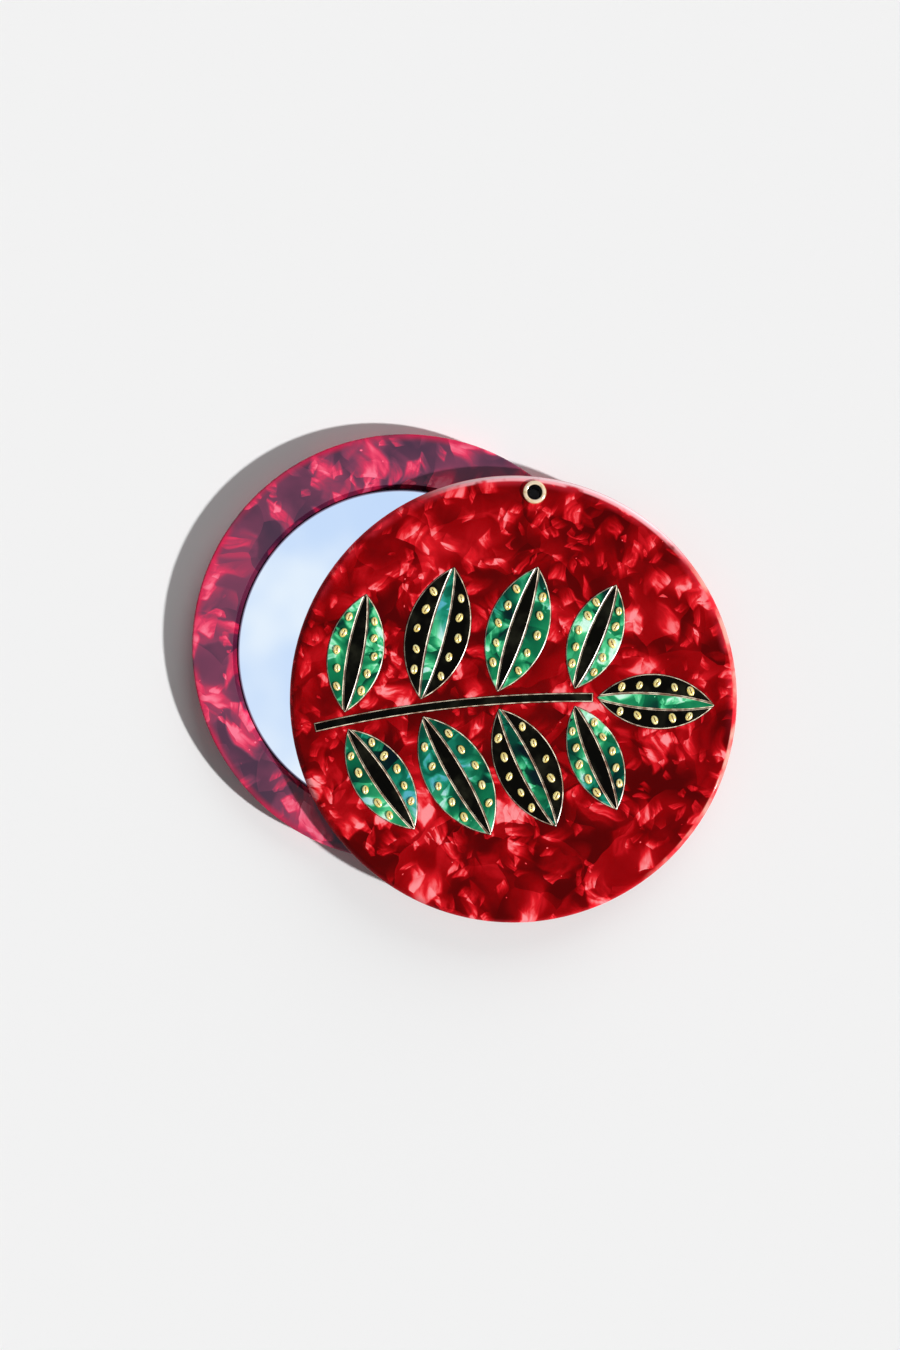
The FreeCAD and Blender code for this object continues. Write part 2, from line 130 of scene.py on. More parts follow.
# The waves that polishing leaves, and how deep they are.
WAVES_PER_METRE = 420.0
FINE_WAVE = 0.004 * MM
SOFT_WAVE = 0.006 * MM
DEEP_WAVE = 0.01 * MM

# Bands at the cover's rim, which hold painted glow, painted highlights, painted sunlight and the wall's
# deeper red: how far inside its edge each starts, and where it is full.
PAINTED_GLOW_BAND = (0.9 * MM, 0.0)
WARM_LIGHT_BAND = (2.4 * MM, 0.6 * MM)
BLUSH_HIGHLIGHT_BAND = (1.3 * MM, 0.9 * MM)
PALE_HIGHLIGHT_BAND = (0.85 * MM, 0.3 * MM)
SUNLIT_BAND = (1.0 * MM, 0.75 * MM)
WALL_BAND = (0.7 * MM, 0.3 * MM)
PAINTED_GLOW_STRENGTH = 0.3
WARM_LIGHT_STRENGTH = 0.6
WALL_STRENGTH = 0.7

# How far below the cover's face its upper rim and its wall start, and where they are full.
UPPER_RIM_DEPTHS = (0.95 * MM, 0.5 * MM)
WALL_DEPTHS = (0.9 * MM, 1.5 * MM)

# The base's rim has a painted glow, and its opening has a border of painted shade, which reaches outside
# the glass.
BASE_PAINTED_GLOW_BAND = (1.6 * MM, 0.0)
SHADED_BORDER_BAND = (-0.9 * MM, -0.75 * MM)
SHADED_BORDER_STRENGTHS = (0.35, 1.0)

# The sides of the discs that take painted light or painted shade: their bearings in the picture, and the
# shares of the radius at which they start and are full.
HIGHLIGHT_BEARING = math.radians(14)
WARM_LIGHT_SIDE_SHARES = (0.0, 0.45)
PALE_HIGHLIGHT_SIDE_SHARES = (0.74, 0.94)
SUN_BEARING = math.radians(97)
SUN_SIDE_SHARES = (0.66, 0.8)
SHADED_BEARING = math.radians(317)
SHADED_SIDE_SHARES = (0.36, 0.6)

# The eyelet's mouth of painted shade, out from its bore, and the mirror's ground edge with painted shade,
# in from its rim.
SHADED_MOUTH_REACHES = (0.05 * MM, 0.2 * MM)
GROUND_EDGE_AND_SHADE_BAND = (0.42 * MM, 0.25 * MM)
GROUND_EDGE_ROUGHNESS = 0.5
SMUDGE_ROUGHNESS = 0.05

# The band that is cut round the top of each inlaid piece, which is coloured pale as a painted highlight. A
# face takes the second material of its piece where it lies in this band, or in the slit of a bead.
CUT_EDGE_WIDTH = 0.14 * MM
CUT_EDGE_DROP = 0.08 * MM
MERGE_DISTANCE = 0.002 * MM
FLAT_ANGLE = math.radians(0.6)
SMOOTH_ANGLE = math.radians(20)
FACES_UP = 0.99
SECOND_MATERIAL = 1

# A gold bead: an oval dome with a slit pressed in its crown.
BEAD_LENGTH = 1.75 * MM
BEAD_WIDTH = 1.28 * MM
BEAD_SEGMENTS = 20
BEAD_RINGS = 10
SLIT_LENGTH_SHARE = 0.66
SLIT_WIDTH_SHARE = 0.15
SLIT_DEPTH_SHARE = 0.4
BEAD_SEED = 7
BEAD_LEAN = math.radians(35)
BEAD_SIZE_SHARES = (0.9, 1.08)
PLACE_DIGITS = 5

# The sky that glass and metal show: its clouds, how far they bend the edge of its blue, and where
# the blue starts and is full.
SKY_CLOUD_FINENESS = 11.0
SKY_CLOUD_BEND = 0.42
SKY_BLUE_REACHES = (-0.6, 0.15)


def srgb(red, green, blue):
    """A colour as a picture's 0 to 255 values, made linear."""
    shares = (channel / 255 for channel in (red, green, blue))
    linear = [c / 12.92 if c <= 0.04045 else ((c + 0.055) / 1.055) ** 2.4 for c in shares]
    return (*linear, 1.0)


BACKDROP_COLOUR = srgb(243, 243, 243)
FILL_COLOUR = srgb(255, 255, 255)


def in_picture(bearing):
    """The direction in the part's frame at a bearing, which runs clockwise from the picture's up."""
    turned = math.pi / 2 + CAMERA_ROLL - bearing
    return Vector((math.cos(turned), math.sin(turned), 0))


def towards_lamp(bearing, elevation):
    return in_picture(bearing) * math.cos(elevation) + Vector((0, 0, math.sin(elevation)))


class Graph:
    """Adds nodes to a tree. An input is a socket to link from, or a plain value."""

    def __init__(self, tree):
        self.tree = tree

    def feed(self, socket, value):
        if isinstance(value, bpy.types.NodeSocket):
            self.tree.links.new(value, socket)
        else:
            socket.default_value = value

    def add(self, kind, inputs=None, **settings):
        made = self.tree.nodes.new(kind)
        for name, value in settings.items():
            setattr(made, name, value)
        for name, value in (inputs or {}).items():
            self.feed(made.inputs[name], value)
        return made

    def math(self, operation, first, second=0.0):
        return self.add("ShaderNodeMath", {0: first, 1: second}, operation=operation).outputs[0]

    def product(self, first, *others):
        for factor in others:
            first = self.math("MULTIPLY", first, factor)
        return first

    def vector(self, operation, first, second):
        return self.add("ShaderNodeVectorMath", {0: first, 1: second}, operation=operation).outputs[0]

    def scaled(self, vector, factor):
        made = self.add("ShaderNodeVectorMath", {0: vector, "Scale": factor}, operation="SCALE")
        return made.outputs[0]

    def along(self, vector, direction):
        """How far a vector reaches in a direction."""
        made = self.add("ShaderNodeVectorMath", {0: vector, 1: direction}, operation="DOT_PRODUCT")
        return made.outputs["Value"]

    def between(self, value, start, full):
        """A smooth step from 0 at start to 1 at full, which may be the lower of the two."""
        inputs = {"Value": value, "From Min": start, "From Max": full}
        return self.add("ShaderNodeMapRange", inputs, interpolation_type="SMOOTHSTEP").outputs[0]

    def spread(self, share, least, most):
        """The value at a share of the way from least to most."""
        inputs = {"Value": share, "To Min": least, "To Max": most}
        return self.add("ShaderNodeMapRange", inputs).outputs[0]

    def mix(self, factor, first, second):
        made = self.add("ShaderNodeMix", {0: factor, 6: first, 7: second}, data_type="RGBA")
        return made.outputs[2]

    def tint(self, factor, colour, shade):
        """The colour multiplied by a shade, as far as the factor says."""
        inputs = {0: factor, 6: colour, 7: shade}
        return self.add("ShaderNodeMix", inputs, data_type="RGBA", blend_type="MULTIPLY").outputs[2]

    def noise(self, place, fineness, detail):
        inputs = {"Vector": place, "Scale": fineness, "Detail": detail}
        return self.add("ShaderNodeTexNoise", inputs).outputs

    def mottle(self, place, fineness, detail, start, full):
        """Soft blotches of noise, which start and are full at two of its values."""
        return self.between(self.noise(place, fineness, detail)["Fac"], start, full)

    def cells(self, place, fineness=1.0):
        return self.add("ShaderNodeTexVoronoi", {"Vector": place, "Scale": fineness}).outputs

    def split(self, vector):
        return self.add("ShaderNodeSeparateXYZ", {"Vector": vector}).outputs

    def group(self, tree, inputs):
        made = self.add("ShaderNodeGroup", node_tree=tree)
        for name, value in inputs.items():
            self.feed(made.inputs[name], value)
        return made.outputs


def new_group(name, inputs, outputs):
    """A shader node group: its tree, its graph, and the sockets inside it to read from and to feed."""
    tree = bpy.data.node_groups.new(name, "ShaderNodeTree")
    for direction, sockets in (("INPUT", inputs), ("OUTPUT", outputs)):
        for socket_name, kind in sockets:
            tree.interface.new_socket(socket_name, in_out=direction, socket_type=f"NodeSocket{kind}")
    graph = Graph(tree)
    return tree, graph, graph.add("NodeGroupInput").outputs, graph.add("NodeGroupOutput").inputs


def noise_offset(graph, place, fineness, reach):
    """A vector that wanders either way by up to half the reach."""
    drawn = graph.noise(place, fineness, detail=2.0)["Color"]
    return graph.scaled(graph.vector("SUBTRACT", drawn, [NOISE_MIDDLE] * 3), reach)


def own_axes(graph, place, cell, turn):
    """The place within a cell, along and across the cell's own angle, which is a share of a full turn."""
    within = graph.vector("SUBTRACT", place, cell["Position"])
    angle = graph.product(turn, 2 * math.pi)
    turned = graph.add("ShaderNodeVectorRotate", {"Vector": within, "Angle": angle}, rotation_type="Z_AXIS")
    return graph.split(turned.outputs[0])


def torn_flake():
    """A layer of torn flakes. A cell may hold one, which lies its own way and fades from end to end."""
    inputs = [("Position", "Vector"), ("Shown Share", "Float")]
    tree, graph, given, made = new_group("Torn Flake", inputs, [("Mask", "Float"), ("Glow", "Float")])
    tears = noise_offset(graph, given["Position"], TEAR_FINENESS, TEAR_REACH)
    place = graph.vector("ADD", given["Position"], tears)
    cell = graph.cells(place)
    draw = graph.add("ShaderNodeTexWhiteNoise", {"Vector": cell["Position"]}).outputs
    turn_draw, length_draw, width_draw = graph.split(draw["Color"])
    along, across, _ = own_axes(graph, place, cell, turn_draw)
    length_share = graph.math("DIVIDE", along, graph.spread(length_draw, *FLAKE_HALF_LENGTHS))
    width_share = graph.math("DIVIDE", across, graph.spread(width_draw, *FLAKE_HALF_WIDTHS))
    slant = graph.math("ADD", length_share, graph.product(width_share, FLAKE_SLANT))
    drift = graph.mottle(cell["Position"], DRIFT_FINENESS, detail=1.0, start=0.35, full=0.65)
    shown = graph.product(given["Shown Share"], graph.spread(drift, *DRIFT_CROWDS))
    chosen = graph.math("LESS_THAN", draw["Value"], shown)
    ends = graph.between(graph.math("ABSOLUTE", slant), *END_SHARES)
    sides = graph.between(graph.math("ABSOLUTE", width_share), *SIDE_SHARES)
    fade = graph.between(slant, *FADE_SHARES)
    grain = graph.add("ShaderNodeCombineXYZ", {
        "X": graph.product(along, GRAIN_ALONG),
        "Y": graph.product(across, GRAIN_ACROSS),
        "Z": graph.product(length_draw, GRAIN_APART),
    })
    streaks = graph.mottle(grain.outputs[0], fineness=1.0, detail=3.0, start=0.2, full=0.7)
    light = graph.spread(streaks, *GRAIN_LIGHTS)
    graph.feed(made["Mask"], graph.product(ends, sides, chosen, fade, light))
    near = graph.between(cell["Distance"], *GLOW_REACHES)
    graph.feed(made["Glow"], graph.product(near, chosen))
    return tree


FLAKE = torn_flake()


def pearl_flakes():
    """Marbled acetate: a clouded ground of broad soft sheets, with bright and pale torn flakes in it."""
    amounts = [(name, "Float") for name in ("Flakes per Metre", "Pale Share", "Ground Share")]
    colours = [(name, "Color") for name in ("Dark", *COLOUR_TONES)]
    inputs = [("Position", "Vector"), *amounts, *colours]
    tree, graph, given, made = new_group("Pearl Flakes", inputs, [("Color", "Color")])
    place = graph.scaled(given["Position"], given["Flakes per Metre"])
    place = graph.vector("ADD", place, noise_offset(graph, place, WARP_FINENESS, WARP_REACH))
    sheet_place = graph.scaled(place, SHEET_FINENESS)
    sheet = graph.cells(sheet_place)
    tone_draw, turn_draw, _ = graph.split(sheet["Color"])
    slope = own_axes(graph, sheet_place, sheet, turn_draw)[0]
    sheet_tone = graph.math("ADD", tone_draw, graph.product(slope, SHEET_SLOPE))
    cloud = graph.noise(place, CLOUD_FINENESS, detail=3.0)["Fac"]
    ground = graph.spread(SHEET_SHARE, cloud, sheet_tone)
    tone = graph.product(graph.between(ground, *GROUND_TONES), given["Ground Share"])
    for fineness, drawn_at, shown, flake_lift, glow_lift in FLAKE_LAYERS:
        layer_place = graph.vector("ADD", graph.scaled(place, fineness), drawn_at)
        share = graph.product(given["Pale Share"], shown)
        flake = graph.group(FLAKE, {"Position": layer_place, "Shown Share": share})
        tone = graph.math("ADD", tone, graph.product(flake["Mask"], flake_lift))
        tone = graph.math("ADD", tone, graph.product(flake["Glow"], glow_lift))
    speck = graph.cells(place, SPECK_FINENESS)
    near = graph.between(speck["Distance"], *SPECK_REACHES)
    chosen = graph.math("GREATER_THAN", graph.split(speck["Color"])[0], BARE_SPECK_SHARE)
    tone = graph.math("ADD", tone, graph.product(near, chosen))
    colour = given["Dark"]
    for name, tones in COLOUR_TONES.items():
        colour = graph.mix(graph.between(tone, *tones), colour, given[name])
    graph.feed(made["Color"], colour)
    return tree


def round_edge():
    """A mask that goes from 0 at one radius about an upright axis to 1 at another."""
    inputs = [("Position", "Vector"), ("Centre", "Vector"), ("Start", "Float"), ("Full", "Float")]
    tree, graph, given, made = new_group("Round Edge", inputs, [("Mask", "Float")])
    away = graph.split(graph.vector("SUBTRACT", given["Position"], given["Centre"]))
    flat = graph.add("ShaderNodeCombineXYZ", {"X": away[0], "Y": away[1]})
    reach = graph.add("ShaderNodeVectorMath", {0: flat.outputs[0]}, operation="LENGTH").outputs["Value"]
    graph.feed(made["Mask"], graph.between(reach, given["Start"], given["Full"]))
    return tree


def hand_polish():
    """The slight waviness and smears that hand polishing leaves: a roughness and a height."""
    inputs = [("Position", "Vector"), ("Least Roughness", "Float"), ("Most Roughness", "Float")]
    outputs = [("Roughness", "Float"), ("Height", "Float")]
    tree, graph, given, made = new_group("Hand Polish", inputs, outputs)
    smears = graph.mottle(given["Position"], fineness=160.0, detail=4.0, start=0.35, full=0.7)
    roughness = graph.spread(smears, given["Least Roughness"], given["Most Roughness"])
    graph.feed(made["Roughness"], roughness)
    graph.feed(made["Height"], graph.noise(given["Position"], WAVES_PER_METRE, detail=1.0)["Fac"])
    return tree


PEARL = pearl_flakes()
EDGE = round_edge()
POLISH = hand_polish()


def new_material(name):
    """A material and its shader's sockets."""
    material = bpy.data.materials.new(name)
    material.use_nodes = True
    return material, material.node_tree.nodes["Principled BSDF"].inputs


def new_finish(name):
    """A material with its graph, its shader's sockets and the place on the piece."""
    material, sockets = new_material(name)
    graph = Graph(material.node_tree)
    return material, graph, sockets, graph.add("ShaderNodeTexCoord").outputs["Object"]


def polish(graph, sockets, place, least, most, depth):
    """Hand polish on a shader's roughness and normal."""
    inputs = {"Position": place, "Least Roughness": least, "Most Roughness": most}
    polished = graph.group(POLISH, inputs)
    graph.feed(sockets["Roughness"], polished["Roughness"])
    inputs = {"Height": polished["Height"], "Distance": depth, "Strength": 1.0}
    graph.feed(sockets["Normal"], graph.add("ShaderNodeBump", inputs).outputs["Normal"])


def pearl(graph, place, flakes_per_metre, pale_share, ground_share, dark, middle, bright, pale):
    """The colour of marbled acetate."""
    amounts = {"Flakes per Metre": flakes_per_metre, "Pale Share": pale_share, "Ground Share": ground_share}
    colours = {"Dark": dark, "Middle": middle, "Bright": bright, "Pale": pale}
    return graph.group(PEARL, {"Position": place, **amounts, **colours})["Color"]


def middle_of(node):
    low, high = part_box(node)
    return (low + high) / 2


def radius_of(node):
    low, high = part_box(node)
    return (high.x - low.x) / 2


def edge_mask(graph, place, node, start, full):
    """A mask that goes from 0 at one radius about a round node's middle to 1 at another."""
    inputs = {"Position": place, "Centre": middle_of(node), "Start": start, "Full": full}
    return graph.group(EDGE, inputs)["Mask"]


def rim_mask(graph, place, disc, band):
    """A band at a disc's rim, given by how far inside the rim it starts and is full."""
    rim = radius_of(disc)
    start, full = band
    return edge_mask(graph, place, disc, rim - start, rim - full)


def side_mask(graph, place, disc, bearing, shares):
    """The side of a disc at a bearing in the picture, given by shares of the disc's radius."""
    outward = graph.vector("SUBTRACT", place, middle_of(disc))
    start, full = (share * radius_of(disc) for share in shares)
    return graph.between(graph.along(outward, in_picture(bearing)), start, full)


def cover_acetate():
    """Deep red pearl acetate, with painted glow, painted highlights and painted sunlight in bands on its
    rim, and a deeper red on its wall.
    """
    material, graph, sockets, place = new_finish("cover_acetate")
    colour = pearl(
        graph, place, flakes_per_metre=158.0, pale_share=0.43, ground_share=0.47,
        dark=srgb(84, 0, 0), middle=srgb(150, 2, 6), bright=srgb(244, 30, 42), pale=srgb(255, 146, 150),
    )
    depth = graph.math("SUBTRACT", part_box("cover_front_sheet")[1].z, graph.split(place)[2])
    upper = graph.between(depth, *UPPER_RIM_DEPTHS)

    def side(bearing, shares):
        return side_mask(graph, place, "cover_back_sheet", bearing, shares)

    def rim_band(band, strength):
        return graph.product(rim_mask(graph, place, "cover_back_sheet", band), strength)

    # Painted glow: a brighter red round the whole rim, standing in for light that shines through the
    # acetate's edge.
    colour = graph.mix(rim_band(PAINTED_GLOW_BAND, PAINTED_GLOW_STRENGTH), colour, srgb(232, 36, 54))
    # Painted light: streaks of warmer red inside the rim on its upper side, where the painted highlight
    # fades into the red.
    streaks = graph.mottle(place, fineness=240.0, detail=3.0, start=0.32, full=0.62)
    warm_light = graph.product(side(HIGHLIGHT_BEARING, WARM_LIGHT_SIDE_SHARES), streaks, WARM_LIGHT_STRENGTH)
    colour = graph.mix(rim_band(WARM_LIGHT_BAND, warm_light), colour, srgb(242, 52, 70))
    # Painted highlight: pale pink on the upper rim at one side, with a pink blush in patches inside it,
    # standing in for a lamp's reflection on the rounded edge.
    highlight_side = graph.product(side(HIGHLIGHT_BEARING, PALE_HIGHLIGHT_SIDE_SHARES), upper)
    patches = graph.mottle(place, fineness=330.0, detail=2.0, start=0.3, full=0.5)
    blush_highlight = graph.product(highlight_side, patches)
    colour = graph.mix(rim_band(BLUSH_HIGHLIGHT_BAND, blush_highlight), colour, srgb(255, 172, 180))
    colour = graph.mix(rim_band(PALE_HIGHLIGHT_BAND, highlight_side), colour, srgb(255, 220, 225))
    # Painted sunlight: a patchy peach band on the upper rim at the side towards the key sun, standing in
    # for the sun's light on the rounded edge.
    sun_side = graph.product(side(SUN_BEARING, SUN_SIDE_SHARES), upper)
    sunlit_patches = graph.mottle(place, fineness=170.0, detail=4.0, start=0.4, full=0.64)
    sunlit = graph.mix(sunlit_patches, srgb(222, 40, 52), srgb(222, 150, 138))
    colour = graph.mix(rim_band(SUNLIT_BAND, sun_side), colour, sunlit)
    wall = graph.product(graph.between(depth, *WALL_DEPTHS), WALL_STRENGTH)
    colour = graph.mix(rim_band(WALL_BAND, wall), colour, srgb(84, 0, 4))
    graph.feed(sockets["Base Color"], colour)
    sockets["Specular IOR Level"].default_value = 0.03
    polish(graph, sockets, place, least=0.06, most=0.16, depth=FINE_WAVE)
    return material


def base_acetate():
    """Raspberry pearl acetate, with a painted crimson glow at its rim and painted shade round the mirror's
    opening.
    """
    material, graph, sockets, place = new_finish("base_acetate")
    flakes = pearl(
        graph, place, flakes_per_metre=120.0, pale_share=0.66, ground_share=0.38,
        dark=srgb(70, 42, 64), middle=srgb(124, 56, 85), bright=srgb(242, 50, 95), pale=srgb(255, 122, 150),
    )
    # Painted glow: crimson in patches round the rim, standing in for light that shines through the
    # acetate's edge.
    patches = graph.mottle(place, fineness=120.0, detail=2.0, start=0.3, full=0.65)
    painted_rim_glow = graph.product(rim_mask(graph, place, "base_back_plate", BASE_PAINTED_GLOW_BAND), patches)
    colour = graph.mix(painted_rim_glow, flakes, srgb(214, 8, 70))
    # Painted shade: a darker border on the ring just outside the glass, strongest on one side, standing in
    # for the shade of the opening's wall and its reflection in the glass.
    shaded_side = side_mask(graph, place, "mirror", SHADED_BEARING, SHADED_SIDE_SHARES)
    plate_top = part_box("base_back_plate")[1].z
    above = graph.math("GREATER_THAN", graph.split(place)[2], plate_top)
    near = rim_mask(graph, place, "mirror", SHADED_BORDER_BAND)
    painted_border_shade = graph.product(near, above, graph.spread(shaded_side, *SHADED_BORDER_STRENGTHS))
    graph.feed(sockets["Base Color"], graph.tint(painted_border_shade, colour, srgb(172, 130, 158)))
    sockets["Specular IOR Level"].default_value = 0.25
    polish(graph, sockets, place, least=0.06, most=0.16, depth=FINE_WAVE)
    return material


def green_pearl():
    """Green pearl acetate, which turns teal in broad patches."""
    material, graph, sockets, place = new_finish("green_pearl")
    flakes = pearl(
        graph, place, flakes_per_metre=150.0, pale_share=0.66, ground_share=0.62,
        dark=srgb(2, 26, 32), middle=srgb(14, 124, 78), bright=srgb(86, 220, 150), pale=srgb(214, 255, 236),
    )
    cool = graph.mottle(place, fineness=75.0, detail=1.0, start=0.5, full=0.66)
    graph.feed(sockets["Base Color"], graph.tint(cool, flakes, srgb(104, 176, 208)))
    sockets["Specular IOR Level"].default_value = 0.05
    polish(graph, sockets, place, least=0.05, most=0.14, depth=SOFT_WAVE)
    return material


def black_gloss():
    """Gloss black acetate with a trace of smoke in it."""
    material, graph, sockets, place = new_finish("black_gloss")
    smoke = graph.mottle(place, fineness=260.0, detail=3.0, start=0.45, full=0.8)
    graph.feed(sockets["Base Color"], graph.mix(smoke, srgb(5, 4, 1), srgb(34, 34, 24)))
    sockets["Specular IOR Level"].default_value = 0.03
    polish(graph, sockets, place, least=0.03, most=0.1, depth=DEEP_WAVE)
    return material


def cut_edge_highlight():
    """The sloping cut edge of the inlay, coloured pale cream as a painted highlight."""
    material, graph, sockets, place = new_finish("cut_edge_highlight")
    # Painted highlight: pale cream, darker in patches, all along the cut edge.
    patches = graph.mottle(place, fineness=700.0, detail=2.0, start=0.35, full=0.65)
    graph.feed(sockets["Base Color"], graph.mix(patches, srgb(150, 112, 88), srgb(244, 228, 200)))
    sockets["Roughness"].default_value = 0.3
    return material


def gold_paint():
    """Pale metallic gold paint, a little uneven."""
    material, graph, sockets, place = new_finish("gold_paint")
    patches = graph.mottle(place, fineness=1500.0, detail=2.0, start=0.35, full=0.7)
    graph.feed(sockets["Base Color"], graph.mix(patches, srgb(246, 210, 114), srgb(255, 243, 178)))
    sockets["Metallic"].default_value = 0.75
    polish(graph, sockets, place, least=0.25, most=0.42, depth=SOFT_WAVE)
    return material


def gold_shaded_hollow():
    """The slit of a bead, painted dark brown as the shade in its hollow."""
    material, graph, sockets, place = new_finish("gold_shaded_hollow")
    # Painted shade: dark brown in the bead's slit.
    patches = graph.mottle(place, fineness=1500.0, detail=2.0, start=0.3, full=0.7)
    graph.feed(sockets["Base Color"], graph.mix(patches, srgb(104, 64, 22), srgb(168, 116, 46)))
    sockets["Roughness"].default_value = 0.5
    return material


def eyelet_brass():
    """Pale brass with a little tarnish, and painted shade in the mouth of the bore."""
    material, graph, sockets, place = new_finish("eyelet_brass")
    tarnish = graph.mottle(place, fineness=900.0, detail=3.0, start=0.5, full=0.75)
    brass = graph.mix(tarnish, srgb(255, 224, 184), srgb(226, 182, 124))
    mounts = {mount["name"]: mount for mount in frame["record"]["mounts"]}
    bore_radius = mounts["eyelet_bore"]["dims"]["r_mm"] * MM
    start, full = (bore_radius + reach for reach in SHADED_MOUTH_REACHES)
    # Painted shade: near-black inside the bore's mouth, where little light reaches.
    beyond_shaded_mouth = edge_mask(graph, place, "eyelet", start, full)
    graph.feed(sockets["Base Color"], graph.mix(beyond_shaded_mouth, srgb(14, 9, 4), brass))
    sockets["Metallic"].default_value = 0.65
    polish(graph, sockets, place, least=0.14, most=0.3, depth=FINE_WAVE)
    return material


def mirror_glass():
    """Silvered glass with faint smudges and a ground edge, which is darker and purplish as painted shade
    and painted reflection of the opening's wall.
    """
    material, graph, sockets, place = new_finish("mirror_glass")
    # Partly painted: the rough ground edge is darkened and tinted purplish as painted shade of the gap and
    # painted reflection of the ring's wall.
    ground = rim_mask(graph, place, "mirror", GROUND_EDGE_AND_SHADE_BAND)
    graph.feed(sockets["Base Color"], graph.mix(ground, srgb(250, 252, 254), srgb(150, 136, 156)))
    sockets["Metallic"].default_value = 1.0
    smudges = graph.mottle(place, fineness=90.0, detail=4.0, start=0.55, full=0.8)
    smudged = graph.product(smudges, SMUDGE_ROUGHNESS)
    roughness = graph.math("ADD", smudged, graph.product(ground, GROUND_EDGE_ROUGHNESS))
    graph.feed(sockets["Roughness"], roughness)
    return material


def plain_plastic(name, low, high):
    """A soft matt plastic, with faint cloudiness between two colours."""
    material, graph, sockets, place = new_finish(name)
    cloud = graph.mottle(place, fineness=600.0, detail=2.0, start=0.3, full=0.7)
    graph.feed(sockets["Base Color"], graph.mix(cloud, low, high))
    polish(graph, sockets, place, least=0.4, most=0.6, depth=FINE_WAVE)
    return material


MATERIALS = {
    "cover_acetate": cover_acetate(),
    "base_acetate": base_acetate(),
    "green_pearl": green_pearl(),
    "black_gloss": black_gloss(),
    "gold_paint": gold_paint(),
    "eyelet_brass": eyelet_brass(),
    "mirror_glass": mirror_glass(),
    "tape": plain_plastic("tape", srgb(206, 204, 196), srgb(224, 222, 214)),
    "nylon": plain_plastic("nylon", srgb(214, 214, 210), srgb(234, 234, 230)),
}
CUT_EDGE_HIGHLIGHT = cut_edge_highlight()
GOLD_SHADED_HOLLOW = gold_shaded_hollow()
SLOT_OF = {part["node"]: part["material_slot"] for part in frame["record"]["subparts"]}


def dress_cad_nodes():
    for name, node in frame["nodes"].items():
        node.data.materials.clear()
        node.data.materials.append(MATERIALS[SLOT_OF[name]])


def pick(piece):
    """Makes one piece the only one selected, and the active one."""
    bpy.ops.object.select_all(action="DESELECT")
    piece.select_set(True)
    bpy.context.view_layer.objects.active = piece


def new_piece(name, mesh):
    piece = bpy.data.objects.new(name, mesh)
    bpy.context.scene.collection.objects.link(piece)
    return piece


def finish_piece(piece, body, node):
    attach(piece, body)
    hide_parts(node)


def merged_copy(node, name):
    """A copy of a CAD node's mesh, left in edit mode with its loose triangles merged at their corners."""
    piece = new_piece(name, frame["nodes"][node].data.copy())
    pick(piece)
    bpy.ops.object.mode_set(mode="EDIT")
    bpy.ops.mesh.select_all(action="SELECT")
    bpy.ops.mesh.customdata_custom_splitnormals_clear()
    bpy.ops.mesh.remove_doubles(threshold=MERGE_DISTANCE)
    return piece


def select_faces(piece, wanted):
    """Selects the faces that a test picks, in object mode."""
    for part in (piece.data.vertices, piece.data.edges, piece.data.polygons):
        part.foreach_set("select", [False] * len(part))
    for face in piece.data.polygons:
        face.select = wanted(face)


def inlaid_piece(node):
    """An inlay piece with a sloping edge cut round its face, coloured pale as a painted highlight."""
    piece = merged_copy(node, f"{node}_inlay")
    bpy.ops.mesh.dissolve_limited(angle_limit=FLAT_ANGLE)
    bpy.ops.object.mode_set(mode="OBJECT")
    piece.data.materials.append(CUT_EDGE_HIGHLIGHT)
    top = max(vertex.co.z for vertex in piece.data.vertices)
    select_faces(piece, lambda face: face.normal.z > FACES_UP)
    bpy.ops.object.mode_set(mode="EDIT")
    bpy.ops.mesh.select_mode(type="FACE")
    bpy.ops.mesh.inset(thickness=CUT_EDGE_WIDTH, depth=0, use_even_offset=True)
    bpy.ops.object.mode_set(mode="OBJECT")
    face_corners = {corner for face in piece.data.polygons if face.select for corner in face.vertices}
    for face in piece.data.polygons:
        if face.normal.z > FACES_UP and not face.select:
            face.material_index = SECOND_MATERIAL
    for vertex in piece.data.vertices:
        if vertex.index not in face_corners and vertex.co.z > top - MERGE_DISTANCE:
            vertex.co.z -= CUT_EDGE_DROP
    pick(piece)
    bpy.ops.object.shade_smooth_by_angle(angle=SMOOTH_ANGLE)
    finish_piece(piece, "cover", node)


def in_slit(point):
    """Whether a point of the bead at the origin lies in its slit."""
    along = point.x / (BEAD_LENGTH / 2 * SLIT_LENGTH_SHARE)
    across = point.y / (BEAD_WIDTH / 2 * SLIT_WIDTH_SHARE)
    return point.z > 0 and along * along + across * across < 1


def one_bead(height):
    """One oval gold bead at the origin, standing on its flat foot."""
    bpy.ops.object.select_all(action="DESELECT")
    bpy.ops.mesh.primitive_uv_sphere_add(segments=BEAD_SEGMENTS, ring_count=BEAD_RINGS, radius=1)
    bead = bpy.context.object
    bpy.ops.object.mode_set(mode="EDIT")
    bpy.ops.mesh.select_all(action="SELECT")
    bpy.ops.mesh.bisect(plane_co=(0, 0, 0), plane_no=(0, 0, -1), clear_outer=True, use_fill=True)
    bpy.ops.mesh.select_all(action="SELECT")
    bpy.ops.transform.resize(value=(BEAD_LENGTH / 2, BEAD_WIDTH / 2, height), center_override=(0, 0, 0))
    bpy.ops.object.mode_set(mode="OBJECT")
    bead.data.materials.append(MATERIALS["gold_paint"])
    bead.data.materials.append(GOLD_SHADED_HOLLOW)
    for vertex in bead.data.vertices:
        if in_slit(vertex.co):
            vertex.co.z -= height * SLIT_DEPTH_SHARE
    for face in bead.data.polygons:
        if in_slit(face.center):
            face.material_index = SECOND_MATERIAL
    bpy.ops.object.shade_smooth()
    return bead


